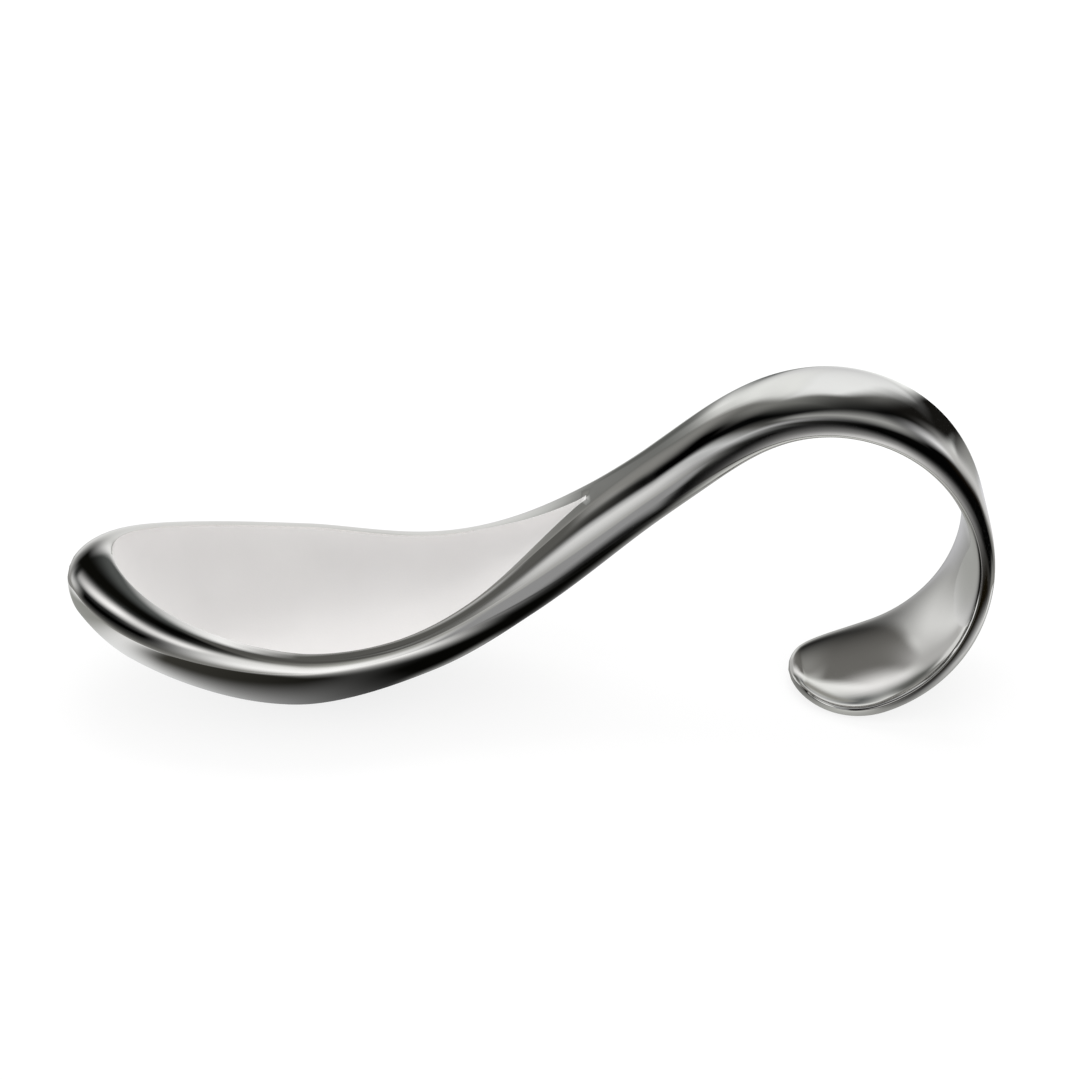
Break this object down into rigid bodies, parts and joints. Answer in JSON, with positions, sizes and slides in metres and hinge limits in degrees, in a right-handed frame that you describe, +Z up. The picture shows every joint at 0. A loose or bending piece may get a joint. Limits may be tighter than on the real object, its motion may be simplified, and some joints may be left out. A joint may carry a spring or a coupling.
{
  "type": "amuse bouche spoon",
  "caption": "Small serving spoon with a deep oval bowl, a short thick neck and a handle rolled over into an open finger loop on which it stands",
  "frame": {"origin": "Middle of the bounding box in plan, on the table under the spoon", "axes": "X runs from the bowl's nose to the finger loop, Y across the bowl, Z up; the spoon stands as it does on a table"},
  "size_m": [0.112, 0.0342, 0.0417],
  "materials": {
    "steel": "mirror polished 18/10 stainless steel"
  },
  "bodies": {
    "root": {"spoon": "steel"}
  },
  "joints": []
}
